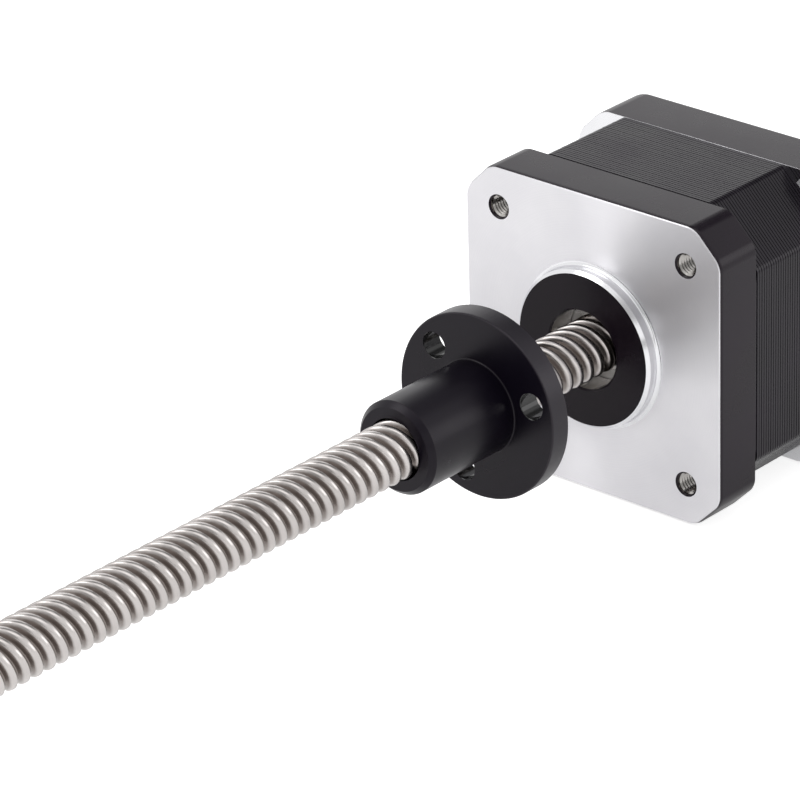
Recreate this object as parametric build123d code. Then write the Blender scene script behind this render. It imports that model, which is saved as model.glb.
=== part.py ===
from build123d import *

import math
import os

# Linear stepper motor: a square hybrid motor whose shaft is a lead screw, with a flanged nut on it.
# Millimetres. The origin is on the screw's axis in the plane of the mounting face.
# The screw points along -Y, the motor body lies on the +Y side, and +Z is up.

# Motor frame
FRAME_SIDE = 42.3
FRAME_CORNER_CUT = 4.15
FRAME_CORNER_RADIUS = 2.4
FRAME_EDGE_BREAK = 0.46
FRONT_COVER_DEPTH = 7.4
REAR_COVER_DEPTH = 8.4
FRONT_WALL = 2.9
REAR_CAVITY_DEPTH = 5.2
CAVITY_DIAMETER = 37.4
HUB_DIAMETER = 19.2

# Mounting interface
HOLE_SPACING = 31.0
TAP_DRILL_DIAMETER = 2.5
TAP_DEPTH = 4.6
TAP_COUNTERSINK = 0.45
PILOT_DIAMETER = 22.0
PILOT_HEIGHT = 2.0
PILOT_EDGE_BREAK = 0.43
PILOT_FOOT_RADIUS = 0.6
FRONT_BORE_DIAMETER = 11.0
REAR_BORE_DIAMETER = 7.0

# Stator
STACK_LENGTH = 16.0
STACK_INSET = 0.25
TIE_HOLE_WALL = 0.73
STACK_CORNER_RADIUS = 4.0
POLE_COUNT = 8
POLE_WIDTH = 4.4
TEETH_PER_POLE = 6
SHOE_DEPTH = 1.8
SLOT_OPENING = 1.0
TIE_HOLE_DIAMETER = 3.2

# Rotor
ROTOR_DIAMETER = 22.0
ROTOR_TEETH = 50
TOOTH_DEPTH = 0.55
TOOTH_SHARE = 0.48
AIR_GAP = 0.08
ROTOR_END_GAP = 0.5
MAGNET_THICKNESS = 1.2
MAGNET_DIAMETER = 18.0
SPACER_DIAMETER = 7.6

# Windings and their insulators
INSULATOR_PLATE = 0.8
INSULATOR_WALL = 0.35
INSULATOR_RIM_THICKNESS = 0.8
INSULATOR_RIM_CLEARANCE = 0.35
INSULATOR_MIDDLE_GAP = 0.2
COIL_BUILD = 1.7
COIL_CORNER_RADIUS = 0.9
COIL_SLOT_GAP = 0.5
WINDING_CLEARANCE = 0.05

# Bearings
BEARING_BORE = 5.0
BEARING_DIAMETER = 16.0
BEARING_WIDTH = 5.0
BALL_DIAMETER = 2.9
BALL_COUNT = 7
INNER_RING_DIAMETER = 8.4
OUTER_RING_BORE = 12.6
SHIELD_THICKNESS = 0.25
SHIELD_INSET = 0.12
CAGE_WALL = 0.9
CAGE_WIDTH = 3.9
RING_EDGE_BREAK = 0.25
FRONT_BEARING_INSET = 0.2
REAR_BEARING_INSET = 0.5

# Preload washer
WASHER_THICKNESS = 0.25
WASHER_HEIGHT = 0.7
WASHER_WIDTH = 1.5
WASHER_WAVES = 3

# Lead screw
SCREW_DIAMETER = 7.94
SCREW_REACH = 150.0
SCREW_END_BREAK = 1.0
SHAFT_TAIL = 1.3
SHAFT_END_BREAK = 0.4

# Lead nut
NUT_GAP = 20.2
NUT_FLANGE_DIAMETER = 25.4
NUT_FLANGE_THICKNESS = 3.0
NUT_BARREL_DIAMETER = 12.7
NUT_BARREL_LENGTH = 16.05
NUT_HOLE_CIRCLE = 19.05
NUT_HOLE_DIAMETER = 3.6
NUT_HOLE_COUNT = 3
NUT_HOLE_ANGLE = 16.0
NUT_HOLE_BREAK = 0.2
NUT_EDGE_BREAK = 0.25
NUT_END_BREAK = 0.7

# Tie screws
TIE_THREAD_DIAMETER = 3.0
TIE_SHANK_DIAMETER = 2.7
TIE_HEAD_DIAMETER = 5.6
TIE_HEAD_HEIGHT = 2.2
TIE_HEAD_BREAK = 0.6
TIE_SEAT_DEPTH = 2.5
TIE_SEAT_CLEARANCE = 0.3
TIE_DRIVE_WIDTH = 0.8
TIE_DRIVE_DEPTH = 1.2

# Terminal board and socket
BOARD_THICKNESS = 0.8
BOARD_HALF_ANGLE = 38.0
SOCKET_WIDTH = 13.9
SOCKET_HEIGHT = 3.6
SOCKET_DEPTH = 6.6
SOCKET_PROUD = 1.2
SOCKET_WALL = 0.6
SOCKET_MOUTH_DEPTH = 4.6
SOCKET_CLEARANCE = 0.2
PIN_COUNT = 6
PIN_PITCH = 2.0
PIN_WIDTH = 0.5
PIN_REACH = 3.6
PIN_TAIL = 1.0

# Fits
PRESS_CLEARANCE = 0.01
SEAT_CLEARANCE = 0.01
RUNNING_CLEARANCE = 0.05
BALL_CLEARANCE = 0.02
CAGE_CLEARANCE = 0.06
THREAD_CLEARANCE = 0.01
WASHER_CLEARANCE = 0.02

# Stations along the axis, counted from the mounting face towards the rear
STACK_FRONT = FRONT_COVER_DEPTH
STACK_BACK = STACK_FRONT + STACK_LENGTH
BODY_BACK = STACK_BACK + REAR_COVER_DEPTH
FRONT_BEARING_BACK = STACK_FRONT - FRONT_BEARING_INSET
FRONT_BEARING_FRONT = FRONT_BEARING_BACK - BEARING_WIDTH
REAR_BEARING_FRONT = STACK_BACK + REAR_BEARING_INSET
REAR_BEARING_BACK = REAR_BEARING_FRONT + BEARING_WIDTH
REAR_POCKET_FLOOR = REAR_BEARING_BACK + WASHER_HEIGHT
REAR_CAVITY_FLOOR = STACK_BACK + REAR_CAVITY_DEPTH
ROTOR_FRONT = STACK_FRONT + ROTOR_END_GAP
ROTOR_BACK = STACK_BACK - ROTOR_END_GAP
CUP_LENGTH = (ROTOR_BACK - ROTOR_FRONT - MAGNET_THICKNESS) / 2
SHAFT_BACK = REAR_BEARING_BACK + SHAFT_TAIL
NUT_FLANGE_BACK = -NUT_GAP
NUT_FLANGE_FRONT = NUT_FLANGE_BACK - NUT_FLANGE_THICKNESS
NUT_FRONT = NUT_FLANGE_FRONT - NUT_BARREL_LENGTH

# Radii that several pieces share
STATOR_BORE_RADIUS = ROTOR_DIAMETER / 2 + AIR_GAP
SHOE_BACK_RADIUS = STATOR_BORE_RADIUS + SHOE_DEPTH
RIM_OUTER_RADIUS = CAVITY_DIAMETER / 2 - INSULATOR_RIM_CLEARANCE
RIM_INNER_RADIUS = RIM_OUTER_RADIUS - INSULATOR_RIM_THICKNESS
YOKE_INNER_RADIUS = RIM_INNER_RADIUS + WINDING_CLEARANCE
BALL_CIRCLE_RADIUS = (INNER_RING_DIAMETER + OUTER_RING_BORE) / 4
RACE_RADIUS = BALL_DIAMETER / 2 + BALL_CLEARANCE
BALL_STEP = 360.0 / BALL_COUNT
POLE_STEP = 360.0 / POLE_COUNT
TOOTH_STEP = 360.0 / ROTOR_TEETH

# The end windings, and the tabs that hold them, end level with the insulator rims
COIL_HALF_WIDTH = POLE_WIDTH / 2 + WINDING_CLEARANCE + INSULATOR_WALL + WINDING_CLEARANCE
WINDING_OVERHANG = INSULATOR_PLATE + WINDING_CLEARANCE + COIL_BUILD
TAB_OUTER_RADIUS = SHOE_BACK_RADIUS + WINDING_CLEARANCE
TAB_INNER_RADIUS = TAB_OUTER_RADIUS - INSULATOR_RIM_THICKNESS

# The board lies on the rear insulator's rim, and the socket lies on the board
BOARD_FRONT = STACK_BACK + WINDING_OVERHANG
BOARD_BACK = BOARD_FRONT + BOARD_THICKNESS
SOCKET_BACK = BOARD_BACK + SOCKET_HEIGHT
SOCKET_MOUTH_X = -FRAME_SIDE / 2 - SOCKET_PROUD
SOCKET_INNER_X = SOCKET_MOUTH_X + SOCKET_DEPTH
PIN_BEND_X = SOCKET_INNER_X + PIN_TAIL
PIN_LEVEL = BOARD_BACK + SOCKET_HEIGHT / 2


def slab(face, front, back):
    """Stretch a sketch of the X-Z plane from one station to another."""
    return extrude(Plane.XZ.offset(-back) * face, amount=back - front, dir=(0, -1, 0))


def turned(points):
    """Revolve a closed outline of (radius, station) points about the axis."""
    outline = Plane.XY * make_face(Polyline(*points, close=True))
    return revolve(outline, axis=Axis.Y)


def sleeve(inner_radius, outer_radius, front, back):
    """A plain tube about the axis."""
    return slab(Circle(outer_radius) - Circle(inner_radius), front, back)


def drum(radius, front, back):
    """A plain cylinder about the axis."""
    return slab(Circle(radius), front, back)


def bolt_places():
    """Centres of the four corner holes."""
    half = HOLE_SPACING / 2
    return [(half, half), (-half, half), (-half, -half), (half, -half)]


def at_corners(radius, front, back):
    """A cylinder at each corner hole."""
    spots = Sketch() + [Pos(x, z) * Circle(radius) for x, z in bolt_places()]
    return slab(spots, front, back)


def cut_square(half, cut, corner_radius):
    """A square with its corners cut off at 45 degrees and the cuts blended in."""
    inner = half - cut
    outline = Polygon(
        (inner, half), (half, inner), (half, -inner), (inner, -half),
        (-inner, -half), (-half, -inner), (-half, inner), (-inner, half),
        align=None,
    )
    return fillet(outline.vertices(), corner_radius)


def frame_outline():
    """Outline that both covers share."""
    return cut_square(FRAME_SIDE / 2, FRAME_CORNER_CUT, FRAME_CORNER_RADIUS)


# Covers


def pilot_boss():
    """Round boss that centres the motor, with a blended foot and a broken edge."""
    radius = PILOT_DIAMETER / 2
    foot = radius + PILOT_FOOT_RADIUS
    root = FRONT_WALL / 2
    wall = Polyline(
        (0, root), (0, -PILOT_HEIGHT), (radius - PILOT_EDGE_BREAK, -PILOT_HEIGHT),
        (radius, PILOT_EDGE_BREAK - PILOT_HEIGHT), (radius, -PILOT_FOOT_RADIUS),
    )
    blend = RadiusArc((radius, -PILOT_FOOT_RADIUS), (foot, 0), -PILOT_FOOT_RADIUS)
    back = Polyline((foot, 0), (foot, root), (0, root))
    return revolve(Plane.XY * make_face(Curve() + [wall, blend, back]), axis=Axis.Y)


def front_cover():
    """End cover with the pilot boss, the front bearing's pocket and the tapped mounting holes."""
    body = slab(frame_outline(), 0, FRONT_COVER_DEPTH)
    body = chamfer(body.edges().group_by(Axis.Y)[0], FRAME_EDGE_BREAK)
    body = body + pilot_boss()
    body -= sleeve(HUB_DIAMETER / 2, CAVITY_DIAMETER / 2, FRONT_WALL, FRONT_COVER_DEPTH)
    body -= drum(FRONT_BORE_DIAMETER / 2, -PILOT_HEIGHT, FRONT_BEARING_FRONT)
    body -= drum(BEARING_DIAMETER / 2 + SEAT_CLEARANCE, FRONT_BEARING_FRONT, FRONT_COVER_DEPTH)
    body -= at_corners(TAP_DRILL_DIAMETER / 2, 0, TAP_DEPTH)
    body -= at_corners(TIE_THREAD_DIAMETER / 2 + THREAD_CLEARANCE, TAP_DEPTH, FRONT_COVER_DEPTH)
    small = TAP_DRILL_DIAMETER / 2
    wide = small + TAP_COUNTERSINK
    sink = turned([(0, 0), (wide, 0), (small, TAP_COUNTERSINK), (0, TAP_COUNTERSINK)])
    for x, z in bolt_places():
        body -= Pos(x, 0, z) * sink
    return body


def socket_window():
    """Room for the socket through the side wall and the rear cavity."""
    outer = FRAME_SIDE / 2 + SOCKET_CLEARANCE
    inner = -(PIN_BEND_X + PIN_WIDTH / 2 + SOCKET_CLEARANCE)
    front = BOARD_BACK - SOCKET_CLEARANCE
    back = SOCKET_BACK + SOCKET_CLEARANCE
    block = Box(
        outer - inner, back - front, SOCKET_WIDTH + 2 * SOCKET_CLEARANCE,
        align=(Align.MIN, Align.MIN, Align.CENTER),
    )
    return Pos(-outer, front, 0) * block


def rear_cover():
    """End cover with the rear bearing's pocket, the screw seats and the socket's window."""
    body = slab(frame_outline(), STACK_BACK, BODY_BACK)
    body = chamfer(body.edges().group_by(Axis.Y)[-1], FRAME_EDGE_BREAK)
    body -= sleeve(HUB_DIAMETER / 2, CAVITY_DIAMETER / 2, STACK_BACK, REAR_CAVITY_FLOOR)
    body -= drum(BEARING_DIAMETER / 2 + SEAT_CLEARANCE, STACK_BACK, REAR_POCKET_FLOOR)
    body -= drum(REAR_BORE_DIAMETER / 2, REAR_POCKET_FLOOR, BODY_BACK)
    body -= at_corners(TIE_HOLE_DIAMETER / 2, STACK_BACK, BODY_BACK)
    seat_radius = TIE_HEAD_DIAMETER / 2 + TIE_SEAT_CLEARANCE
    body -= at_corners(seat_radius, BODY_BACK - TIE_SEAT_DEPTH, BODY_BACK)
    body -= socket_window()
    return body


# Stator, insulators and windings


def tooth_gap(radius, step_share, reach):
    """The space between two teeth, a thin radial bar that starts at the given radius."""
    width = 2 * radius * math.sin(math.radians(TOOTH_STEP * step_share / 2))
    return Pos(radius, 0) * Rectangle(reach, width)


def stator_stack():
    """Laminated stack with eight poles, whose shoes carry the teeth that face the rotor."""
    outer = FRAME_SIDE / 2 - STACK_INSET
    corner_wall = TIE_HOLE_DIAMETER / 2 + TIE_HOLE_WALL
    corner_cut = 2 * outer - HOLE_SPACING - math.sqrt(2) * corner_wall
    face = cut_square(outer, corner_cut, STACK_CORNER_RADIUS)
    pole = Rectangle(YOKE_INNER_RADIUS, POLE_WIDTH, align=(Align.MIN, Align.CENTER))
    poles = Sketch() + [Rot(0, 0, i * POLE_STEP) * pole for i in range(POLE_COUNT)]
    slots = (Circle(YOKE_INNER_RADIUS) - Circle(SHOE_BACK_RADIUS)) - poles
    face = face - slots - Circle(STATOR_BORE_RADIUS)
    mouth = SHOE_DEPTH + 2 * TOOTH_DEPTH
    face -= [
        Rot(0, 0, (i + 0.5) * POLE_STEP) * Pos(STATOR_BORE_RADIUS, 0) * Rectangle(2 * mouth, SLOT_OPENING)
        for i in range(POLE_COUNT)
    ]
    gap = tooth_gap(STATOR_BORE_RADIUS, 1 - TOOTH_SHARE, 2 * TOOTH_DEPTH)
    gaps = TEETH_PER_POLE - 1
    face -= [
        Rot(0, 0, i * POLE_STEP + (k - (gaps - 1) / 2) * TOOTH_STEP) * gap
        for i in range(POLE_COUNT)
        for k in range(gaps)
    ]
    face -= [Pos(x, z) * Circle(TIE_HOLE_DIAMETER / 2) for x, z in bolt_places()]
    return slab(face, STACK_FRONT, STACK_BACK)


def insulator(end, outward):
    """Winding insulator on one end of the stack: rim, arms over the poles, tabs and slot liners."""
    plate = end + outward * INSULATOR_PLATE
    tip = end + outward * WINDING_OVERHANG
    liner_tip = end - outward * (STACK_LENGTH - INSULATOR_MIDDLE_GAP) / 2
    half_arm = POLE_WIDTH / 2 + WINDING_CLEARANCE + INSULATOR_WALL
    body = sleeve(RIM_INNER_RADIUS, RIM_OUTER_RADIUS, min(end, tip), max(end, tip))
    arm_length = RIM_INNER_RADIUS + INSULATOR_RIM_THICKNESS / 2 - TAB_INNER_RADIUS
    arm = Pos(TAB_INNER_RADIUS, 0) * Rectangle(arm_length, 2 * half_arm, align=(Align.MIN, Align.CENTER))
    tab_ring = Circle(TAB_OUTER_RADIUS) - Circle(TAB_INNER_RADIUS)
    shoe_width = 2 * TAB_OUTER_RADIUS * math.sin(math.radians(POLE_STEP / 4))
    tab = tab_ring & (Pos(TAB_INNER_RADIUS, 0) * Rectangle(TAB_INNER_RADIUS, shoe_width))
    liner_start = SHOE_BACK_RADIUS + INSULATOR_WALL
    liner_length = math.sqrt(RIM_INNER_RADIUS**2 - half_arm**2) - liner_start
    liner = Sketch() + [
        Pos(liner_start, side * (half_arm - INSULATOR_WALL / 2))
        * Rectangle(liner_length, INSULATOR_WALL, align=(Align.MIN, Align.CENTER))
        for side in (-1, 1)
    ]
    for i in range(POLE_COUNT):
        turn = Rot(0, 0, i * POLE_STEP)
        body += slab(turn * arm, min(end, plate), max(end, plate))
        body += slab(turn * tab, min(end, tip), max(end, tip))
        body += slab(turn * liner, min(plate, liner_tip), max(plate, liner_tip))
    return body


def coil(pole):
    """One winding, a rounded block around a pole and both its insulator arms."""
    inner_half = COIL_HALF_WIDTH
    inner_length = STACK_LENGTH / 2 + INSULATOR_PLATE + WINDING_CLEARANCE
    outer_half = inner_half + COIL_BUILD
    start = TAB_OUTER_RADIUS + COIL_SLOT_GAP
    end = math.sqrt((RIM_INNER_RADIUS - WINDING_CLEARANCE) ** 2 - outer_half**2)
    ring = RectangleRounded(2 * outer_half, 2 * (inner_length + COIL_BUILD), COIL_CORNER_RADIUS)
    ring -= Rectangle(2 * inner_half, 2 * inner_length)
    middle = (STACK_FRONT + STACK_BACK) / 2
    base = Plane(origin=(start, middle, 0), x_dir=(0, 0, 1), z_dir=(1, 0, 0))
    body = extrude(base * ring, amount=end - start)
    return Rot(0, -pole * POLE_STEP, 0) * body


# Rotor and shaft


def rotor_cup(front, tooth_shift):
    """Toothed soft-iron cup."""
    gap = tooth_gap(ROTOR_DIAMETER / 2, 1 - TOOTH_SHARE, 2 * TOOTH_DEPTH)
    face = Circle(ROTOR_DIAMETER / 2) - Circle(BEARING_BORE / 2 + PRESS_CLEARANCE)
    face -= [Rot(0, 0, (k + tooth_shift) * TOOTH_STEP) * gap for k in range(ROTOR_TEETH)]
    return slab(face, front, front + CUP_LENGTH)


def spacer(front, back):
    """Ring on the shaft between the rotor and a bearing's inner ring."""
    return sleeve(BEARING_BORE / 2 + PRESS_CLEARANCE, SPACER_DIAMETER / 2, front, back)


def lead_screw():
    """Screw and motor shaft in one piece: the shaft is turned down behind a shoulder."""
    screw = SCREW_DIAMETER / 2
    shaft = BEARING_BORE / 2
    return turned([
        (0, -SCREW_REACH),
        (screw - SCREW_END_BREAK, -SCREW_REACH),
        (screw, -SCREW_REACH + SCREW_END_BREAK),
        (screw, FRONT_BEARING_FRONT),
        (shaft, FRONT_BEARING_FRONT),
        (shaft, SHAFT_BACK - SHAFT_END_BREAK),
        (shaft - SHAFT_END_BREAK, SHAFT_BACK),
        (0, SHAFT_BACK),
    ])


# Bearings


def race(front):
    """The ring-shaped channel that the balls run in, cut from both rings."""
    centre = Pos(BALL_CIRCLE_RADIUS, front + BEARING_WIDTH / 2)
    return revolve(Plane.XY * (centre * Circle(RACE_RADIUS)), axis=Axis.Y)


def bearing_ring(inner_radius, outer_radius, front, broken_outside):
    """One ring of a bearing, with its corners broken where it is seated."""
    back = front + BEARING_WIDTH
    cut = RING_EDGE_BREAK
    if broken_outside:
        ring = turned([
            (inner_radius, front), (outer_radius - cut, front), (outer_radius, front + cut),
            (outer_radius, back - cut), (outer_radius - cut, back), (inner_radius, back),
        ])
    else:
        ring = turned([
            (inner_radius + cut, front), (outer_radius, front), (outer_radius, back),
            (inner_radius + cut, back), (inner_radius, back - cut), (inner_radius, front + cut),
        ])
    return ring - race(front)


def outer_ring(front):
    """Ring held in the cover's pocket."""
    return bearing_ring(OUTER_RING_BORE / 2, BEARING_DIAMETER / 2, front, True)


def inner_ring(front):
    """Ring pressed on the shaft."""
    return bearing_ring(BEARING_BORE / 2 + PRESS_CLEARANCE, INNER_RING_DIAMETER / 2, front, False)


def ball_places(front):
    """Placement of each ball of one bearing."""
    centre = Pos(BALL_CIRCLE_RADIUS, front + BEARING_WIDTH / 2, 0)
    return [Rot(0, i * BALL_STEP, 0) * centre for i in range(BALL_COUNT)]


def balls(front):
    """All balls of one bearing, as separate solids."""
    return Compound(children=[place * Sphere(BALL_DIAMETER / 2) for place in ball_places(front)])


def cage(front):
    """Moulded ring that keeps the balls apart."""
    middle = front + BEARING_WIDTH / 2
    body = sleeve(
        BALL_CIRCLE_RADIUS - CAGE_WALL / 2, BALL_CIRCLE_RADIUS + CAGE_WALL / 2,
        middle - CAGE_WIDTH / 2, middle + CAGE_WIDTH / 2,
    )
    pocket = Rot(0, 90, 0) * Cylinder(BALL_DIAMETER / 2 + CAGE_CLEARANCE, 3 * CAGE_WALL)
    for place in ball_places(front):
        body -= place * pocket
    return body


def shields(front):
    """The two dust shields of one bearing, snapped into its outer ring."""
    inner = INNER_RING_DIAMETER / 2 + RUNNING_CLEARANCE
    outer = OUTER_RING_BORE / 2 - SEAT_CLEARANCE
    first = front + SHIELD_INSET
    last = front + BEARING_WIDTH - SHIELD_INSET
    return Compound(children=[
        sleeve(inner, outer, first, first + SHIELD_THICKNESS),
        sleeve(inner, outer, last - SHIELD_THICKNESS, last),
    ])


def wave_washer():
    """Spring washer whose crests touch the rear bearing and the floor of its pocket in turn."""
    outer = BEARING_DIAMETER / 2 - RING_EDGE_BREAK
    inner = outer - WASHER_WIDTH
    middle = (REAR_BEARING_BACK + REAR_POCKET_FLOOR) / 2
    swing = (WASHER_HEIGHT - WASHER_THICKNESS) / 2 - WASHER_CLEARANCE
    steps = 8 * WASHER_WAVES

    def rail(radius):
        """Closed wavy line at one radius."""
        points = []
        for i in range(steps):
            turn = 2 * math.pi * i / steps
            height = middle + swing * math.cos(WASHER_WAVES * turn)
            points.append((radius * math.cos(turn), height, radius * math.sin(turn)))
        return Spline(*points, periodic=True)

    sheet = Face.make_surface_from_curves(rail(inner).edge(), rail(outer).edge())
    down = Vector(0, -WASHER_THICKNESS / 2, 0)
    return extrude(Pos(down) * sheet, amount=WASHER_THICKNESS, dir=(0, 1, 0))


# Nut


def lead_nut():
    """Flanged nut with a plain barrel towards the screw's free end."""
    bore = SCREW_DIAMETER / 2 + RUNNING_CLEARANCE
    barrel = NUT_BARREL_DIAMETER / 2
    flange = NUT_FLANGE_DIAMETER / 2
    edge = NUT_EDGE_BREAK
    body = turned([
        (bore + edge, NUT_FRONT),
        (barrel - NUT_END_BREAK, NUT_FRONT),
        (barrel, NUT_FRONT + NUT_END_BREAK),
        (barrel, NUT_FLANGE_FRONT),
        (flange - edge, NUT_FLANGE_FRONT),
        (flange, NUT_FLANGE_FRONT + edge),
        (flange, NUT_FLANGE_BACK - edge),
        (flange - edge, NUT_FLANGE_BACK),
        (bore + edge, NUT_FLANGE_BACK),
        (bore, NUT_FLANGE_BACK - edge),
        (bore, NUT_FRONT + edge),
    ])
    hole = NUT_HOLE_DIAMETER / 2
    cutter = turned([
        (0, NUT_FLANGE_FRONT), (hole + NUT_HOLE_BREAK, NUT_FLANGE_FRONT),
        (hole, NUT_FLANGE_FRONT + NUT_HOLE_BREAK), (hole, NUT_FLANGE_BACK - NUT_HOLE_BREAK),
        (hole + NUT_HOLE_BREAK, NUT_FLANGE_BACK), (0, NUT_FLANGE_BACK),
    ])
    for i in range(NUT_HOLE_COUNT):
        turn = math.radians(NUT_HOLE_ANGLE + i * 360.0 / NUT_HOLE_COUNT)
        radius = NUT_HOLE_CIRCLE / 2
        body -= Pos(radius * math.cos(turn), 0, radius * math.sin(turn)) * cutter
    return body


# Fasteners and socket


def tie_screws():
    """Four long screws with cross recesses, their heads sunk in the rear cover."""
    seat = BODY_BACK - TIE_SEAT_DEPTH
    thread_back = STACK_FRONT
    top = seat + TIE_HEAD_HEIGHT
    bar = Rectangle(TIE_HEAD_DIAMETER / 2, TIE_DRIVE_WIDTH)
    cross = slab(bar + Rot(0, 0, 90) * bar, top - TIE_DRIVE_DEPTH, top)
    head = drum(TIE_HEAD_DIAMETER / 2, seat, top)
    head = chamfer(head.edges().group_by(Axis.Y)[-1], TIE_HEAD_BREAK)
    screw = head + drum(TIE_SHANK_DIAMETER / 2, thread_back, seat)
    screw += drum(TIE_THREAD_DIAMETER / 2, TAP_DEPTH, thread_back)
    screw -= cross
    return Compound(children=[Pos(x, 0, z) * screw for x, z in bolt_places()])


def terminal_board():
    """Board on the rear insulator that joins the winding ends and carries the socket."""
    sector_reach = 2 * RIM_OUTER_RADIUS
    corner = sector_reach * math.tan(math.radians(BOARD_HALF_ANGLE))
    sector = Polygon((0, 0), (-sector_reach, corner), (-sector_reach, -corner), align=None)
    ring = Circle(RIM_OUTER_RADIUS) - Circle(TAB_INNER_RADIUS)
    holes = [Pos(PIN_BEND_X, z) * Rectangle(PIN_WIDTH, PIN_WIDTH) for z in pin_heights()]
    return slab((ring & sector) - holes, BOARD_FRONT, BOARD_BACK)


def pin_heights():
    """Height of each socket pin."""
    return [(i - (PIN_COUNT - 1) / 2) * PIN_PITCH for i in range(PIN_COUNT)]


def connector_housing():
    """Open-mouthed socket body that looks out of the rear cover's side."""
    low = (Align.MIN, Align.MIN, Align.CENTER)
    body = Pos(SOCKET_MOUTH_X, BOARD_BACK, 0) * Box(SOCKET_DEPTH, SOCKET_HEIGHT, SOCKET_WIDTH, align=low)
    mouth = Box(
        SOCKET_MOUTH_DEPTH, SOCKET_HEIGHT - 2 * SOCKET_WALL, SOCKET_WIDTH - 2 * SOCKET_WALL, align=low
    )
    body -= Pos(SOCKET_MOUTH_X, BOARD_BACK + SOCKET_WALL, 0) * mouth
    side = PIN_WIDTH + 2 * SEAT_CLEARANCE
    for z in pin_heights():
        body -= Pos(SOCKET_INNER_X, PIN_LEVEL, z) * Box(SOCKET_DEPTH, side, side)
    return body


def connector_pins():
    """Six bent pins from the socket's mouth into the board."""
    start = SOCKET_MOUTH_X + SOCKET_MOUTH_DEPTH - PIN_REACH
    low = (Align.MIN, Align.CENTER, Align.CENTER)
    front = (Align.CENTER, Align.MIN, Align.CENTER)
    pins = []
    for z in pin_heights():
        across = Box(PIN_BEND_X + PIN_WIDTH / 2 - start, PIN_WIDTH, PIN_WIDTH, align=low)
        down = Box(PIN_WIDTH, PIN_LEVEL - BOARD_FRONT, PIN_WIDTH, align=front)
        pins.append(Pos(start, PIN_LEVEL, z) * across + Pos(PIN_BEND_X, BOARD_FRONT, z) * down)
    return Compound(children=pins)


def all_pieces():
    """Every node of the assembly by name."""
    pieces = {
        "front_cover": front_cover(),
        "rear_cover": rear_cover(),
        "stator_stack": stator_stack(),
        "insulator_front": insulator(STACK_FRONT, -1),
        "insulator_rear": insulator(STACK_BACK, 1),
        "coil_phase_a": Compound(children=[coil(i) for i in range(0, POLE_COUNT, 2)]),
        "coil_phase_b": Compound(children=[coil(i) for i in range(1, POLE_COUNT, 2)]),
        "rotor_cup_front": rotor_cup(ROTOR_FRONT, 0),
        "rotor_cup_rear": rotor_cup(ROTOR_BACK - CUP_LENGTH, 0.5),
        "rotor_magnet": sleeve(
            BEARING_BORE / 2 + PRESS_CLEARANCE, MAGNET_DIAMETER / 2,
            ROTOR_FRONT + CUP_LENGTH, ROTOR_BACK - CUP_LENGTH,
        ),
        "front_spacer": spacer(FRONT_BEARING_BACK, ROTOR_FRONT),
        "rear_spacer": spacer(ROTOR_BACK, REAR_BEARING_FRONT),
        "wave_washer": wave_washer(),
        "tie_screws": tie_screws(),
        "terminal_board": terminal_board(),
        "connector_housing": connector_housing(),
        "connector_pins": connector_pins(),
        "lead_screw": lead_screw(),
        "lead_nut": lead_nut(),
    }
    for end, front in (("front", FRONT_BEARING_FRONT), ("rear", REAR_BEARING_FRONT)):
        pieces[f"{end}_bearing_outer_ring"] = outer_ring(front)
        pieces[f"{end}_bearing_inner_ring"] = inner_ring(front)
        pieces[f"{end}_bearing_balls"] = balls(front)
        pieces[f"{end}_bearing_cage"] = cage(front)
        pieces[f"{end}_bearing_shields"] = shields(front)
    return pieces


os.makedirs("parts", exist_ok=True)
for name, piece in all_pieces().items():
    export_step(piece, f"parts/{name}.step")
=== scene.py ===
"""Looks of a linear stepper motor: bare and painted covers, laminated stack, lead screw and flanged nut."""

from __future__ import annotations

import logging
import math
from collections.abc import Callable, Iterator
from contextlib import contextmanager
from dataclasses import dataclass, field
from enum import Enum

import bmesh
import bpy
from mathutils import Matrix, Vector


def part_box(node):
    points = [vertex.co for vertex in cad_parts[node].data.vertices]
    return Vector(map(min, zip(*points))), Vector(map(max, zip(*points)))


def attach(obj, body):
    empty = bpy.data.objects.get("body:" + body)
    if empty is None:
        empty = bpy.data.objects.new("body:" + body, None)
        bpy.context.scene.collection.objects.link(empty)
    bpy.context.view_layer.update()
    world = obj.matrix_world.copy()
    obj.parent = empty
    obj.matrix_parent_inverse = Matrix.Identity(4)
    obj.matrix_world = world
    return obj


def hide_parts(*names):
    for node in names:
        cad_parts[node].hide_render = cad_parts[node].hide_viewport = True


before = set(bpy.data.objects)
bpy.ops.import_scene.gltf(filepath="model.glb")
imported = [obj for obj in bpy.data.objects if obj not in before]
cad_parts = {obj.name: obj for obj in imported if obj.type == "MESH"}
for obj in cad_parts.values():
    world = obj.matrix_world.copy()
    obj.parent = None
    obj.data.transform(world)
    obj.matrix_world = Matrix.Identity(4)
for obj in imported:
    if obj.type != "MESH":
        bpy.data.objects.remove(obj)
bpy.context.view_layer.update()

MM = 0.001
FULL_TURN = 2 * math.pi
CORNER_TURN = math.radians(22.5)
LOG = logging.getLogger("motor")

# Millimetres: the hole square's side, how far a tool runs past a face, the slack of the marks and of
# the tests of place, and the distances below which corners are one in a mesh and in an outline
HOLE_SQUARE = 31.0
OVERCUT = 1.0
MARGIN = 0.05
TOUCH = 0.01
DOUBLED = 0.0004
CLOSED = 0.00001

# Shares of a direction that count as along an axis and as across it
ALONG = 0.9
ACROSS = 0.1

Piece = bpy.types.Object
Wire = bpy.types.NodeSocket
Point = tuple[float, float]
Point3 = tuple[float, float, float]
Colour = tuple[float, float, float]
Inputs = dict[str | int, object]
Test = Callable[[Vector, Vector], bool]


class Body(Enum):
    """Bodies of the frame that the pieces ride on."""

    MOTOR = "motor"
    SCREW = "screw"
    NUT = "nut"


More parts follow.
